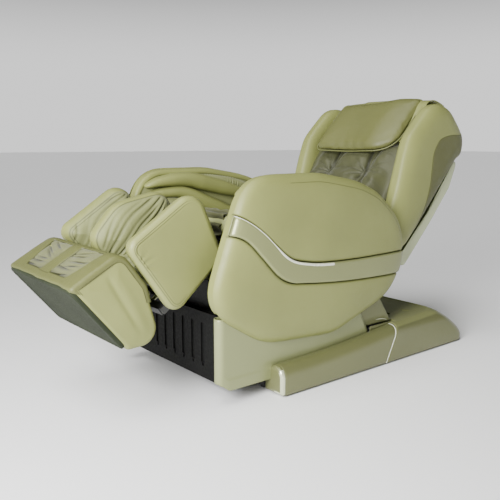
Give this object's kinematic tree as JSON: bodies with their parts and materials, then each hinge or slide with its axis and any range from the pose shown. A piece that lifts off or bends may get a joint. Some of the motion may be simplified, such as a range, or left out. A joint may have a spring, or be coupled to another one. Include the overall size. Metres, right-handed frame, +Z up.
{
  "type": "massage chair",
  "caption": "Reclining massage chair with padded arms, channelled leg and foot rests and a winged back, on a low base that it slides along.",
  "frame": {"origin": "middle of the floor frame, on the floor, under the centre foot pad", "axes": "+X towards the sitter's left, +Y towards the back of the chair, +Z up"},
  "size_m": [0.8, 1.8305, 1.0519],
  "materials": {
    "frame_steel": "satin powder coat",
    "rubber_feet": "matte",
    "champagne_paint": "metallic satin",
    "bright_trim": "glossy metallic",
    "ivory_trim": "gloss",
    "wheel_rubber": "matte",
    "black_plastic": "fine grain",
    "switch_red": "gloss",
    "machined_steel": "machined",
    "olive_leather": "fine grained, soft sheen",
    "trim_leather": "smooth, soft sheen",
    "lining_fabric": "soft knitted lining",
    "cream_shell": "satin gloss",
    "grey_plastic": "matte",
    "roller_plastic": "satin",
    "chrome_tube": "polished",
    "grey_sole": "matte, fine grain"
  },
  "bodies": {
    "base": {"base_frame": "frame_steel", "floor_pads": "rubber_feet", "rail_cover_left": "champagne_paint", "rail_cover_right": "champagne_paint", "rail_caps": "bright_trim", "rail_strips": "ivory_trim", "base_rear_cover": "champagne_paint", "power_inlet": "black_plastic"},
    "transport_wheels": {"transport_wheels": "wheel_rubber"},
    "power_switch": {"power_switch": "switch_red"},
    "carriage": {"carriage_frame": "frame_steel", "skirt_left": "champagne_paint", "skirt_right": "champagne_paint", "rear_skirts": "champagne_paint", "front_panel": "black_plastic", "front_upper_panel": "black_plastic", "air_pump": "grey_plastic", "control_box": "grey_plastic", "arm_shell_left": "olive_leather", "arm_shell_right": "olive_leather", "arm_trim_left": "trim_leather", "arm_trim_right": "trim_leather", "arm_core_left": "lining_fabric", "arm_core_right": "lining_fabric", "arm_inner_pad_left": "olive_leather", "arm_inner_pad_right": "olive_leather", "seat_pan": "frame_steel", "seat_cushion": "lining_fabric"},
    "front_axle": {"front_roller_axle": "machined_steel"},
    "rear_axle": {"rear_roller_axle": "machined_steel"},
    "backrest": {"back_frame": "frame_steel", "back_wing_left": "olive_leather", "back_wing_right": "olive_leather", "back_rear_shell": "cream_shell", "head_cover": "olive_leather", "back_pad": "lining_fabric"},
    "pillow": {"pillow": "olive_leather"},
    "massage_carriage": {"massage_carriage": "grey_plastic"},
    "kneading_arms": {"kneading_arms": "machined_steel"},
    "upper_rollers": {"upper_rollers": "roller_plastic"},
    "lower_rollers": {"lower_rollers": "roller_plastic"},
    "back_actuator": {"back_actuator": "grey_plastic"},
    "back_actuator_rod": {"back_actuator_rod": "machined_steel"},
    "leg_rest": {"leg_frame": "frame_steel", "calf_wall_left": "olive_leather", "calf_wall_middle": "olive_leather", "calf_wall_right": "olive_leather", "calf_back_pad": "lining_fabric"},
    "leg_actuator": {"leg_actuator": "grey_plastic"},
    "leg_actuator_rod": {"leg_actuator_rod": "machined_steel"},
    "foot_rest": {"foot_slide": "chrome_tube", "foot_wall_left": "olive_leather", "foot_wall_middle": "olive_leather", "foot_wall_right": "olive_leather", "foot_sole": "grey_sole", "foot_toe_band": "trim_leather", "foot_heel_tray": "lining_fabric"},
    "foot_rollers": {"foot_rollers": "roller_plastic"}
  },
  "joints": [
    {"name": "carriage_slide", "type": "slide", "parent": "base", "child": "carriage", "axis": [0, 1, 0], "range_m": [0, 0.15]},
    {"name": "transport_wheels_spin", "type": "hinge", "parent": "base", "child": "transport_wheels", "pos_m": [0, 0.492, 0.036], "axis": [1, 0, 0], "continuous": true},
    {"name": "power_switch_rock", "type": "hinge", "parent": "base", "child": "power_switch", "pos_m": [-0.11, 0.538, 0.06], "axis": [1, 0, 0], "range_deg": [0, 14]},
    {"name": "front_axle_spin", "type": "hinge", "parent": "carriage", "child": "front_axle", "pos_m": [0, -0.36, 0.0723], "axis": [1, 0, 0], "continuous": true},
    {"name": "rear_axle_spin", "type": "hinge", "parent": "carriage", "child": "rear_axle", "pos_m": [0, 0.2, 0.0723], "axis": [1, 0, 0], "continuous": true},
    {"name": "back_recline", "type": "hinge", "parent": "carriage", "child": "backrest", "pos_m": [0, 0.02, 0.38], "axis": [1, 0, 0], "range_deg": [-14, 36]},
    {"name": "pillow_flip", "type": "hinge", "parent": "backrest", "child": "pillow", "pos_m": [0, 0.47725, 1.04337], "axis": [-1, 0, 0], "range_deg": [0, 150]},
    {"name": "massage_travel", "type": "slide", "parent": "backrest", "child": "massage_carriage", "axis": [0, 0.682, 0.7314], "range_m": [-0.2, 0.26]},
    {"name": "knead_swing", "type": "hinge", "parent": "massage_carriage", "child": "kneading_arms", "pos_m": [0, 0.25603, 0.61112], "axis": [1, 0, 0], "range_deg": [-12, 12]},
    {"name": "upper_roller_spin", "type": "hinge", "parent": "kneading_arms", "child": "upper_rollers", "pos_m": [0, 0.24834, 0.68939], "axis": [1, 0, 0], "continuous": true},
    {"name": "lower_roller_spin", "type": "hinge", "parent": "kneading_arms", "child": "lower_rollers", "pos_m": [0, 0.17742, 0.61332], "axis": [1, 0, 0], "continuous": true},
    {"name": "back_actuator_tilt", "type": "hinge", "parent": "carriage", "child": "back_actuator", "pos_m": [0, -0.42, 0.17], "axis": [1, 0, 0], "range_deg": [-1.41, 2.84]},
    {"name": "back_actuator_extend", "type": "slide", "parent": "back_actuator", "child": "back_actuator_rod", "axis": [0, 0.976, 0.2179], "range_m": [-0.0273, 0.0671]},
    {"name": "leg_lift", "type": "hinge", "parent": "carriage", "child": "leg_rest", "pos_m": [0, -0.69, 0.51], "axis": [1, 0, 0], "range_deg": [-28, 30]},
    {"name": "leg_actuator_tilt", "type": "hinge", "parent": "carriage", "child": "leg_actuator", "pos_m": [0, -0.25, 0.3], "axis": [1, 0, 0], "range_deg": [-0.78, 0.8]},
    {"name": "leg_actuator_extend", "type": "slide", "parent": "leg_actuator", "child": "leg_actuator_rod", "axis": [0, -0.9484, 0.3171], "range_m": [-0.0312, 0.0293]},
    {"name": "foot_extend", "type": "slide", "parent": "leg_rest", "child": "foot_rest", "axis": [0, -0.8192, -0.5736], "range_m": [0, 0.1]},
    {"name": "foot_rollers_spin", "type": "hinge", "parent": "foot_rest", "child": "foot_rollers", "pos_m": [0, -1.07256, 0.352], "axis": [1, 0, 0], "continuous": true}
  ],
  "couplings": [
    {"joint": "front_axle_spin", "follows": "carriage_slide", "rad_per_m": -50},
    {"joint": "rear_axle_spin", "follows": "carriage_slide", "rad_per_m": -50},
    {"joint": "back_actuator_tilt", "follows": "back_recline", "ratio": 0.065},
    {"joint": "back_actuator_extend", "follows": "back_recline", "m_per_rad": 0.1036},
    {"joint": "leg_actuator_tilt", "follows": "leg_lift", "ratio": 0.01},
    {"joint": "leg_actuator_extend", "follows": "leg_lift", "m_per_rad": -0.0558}
  ]
}
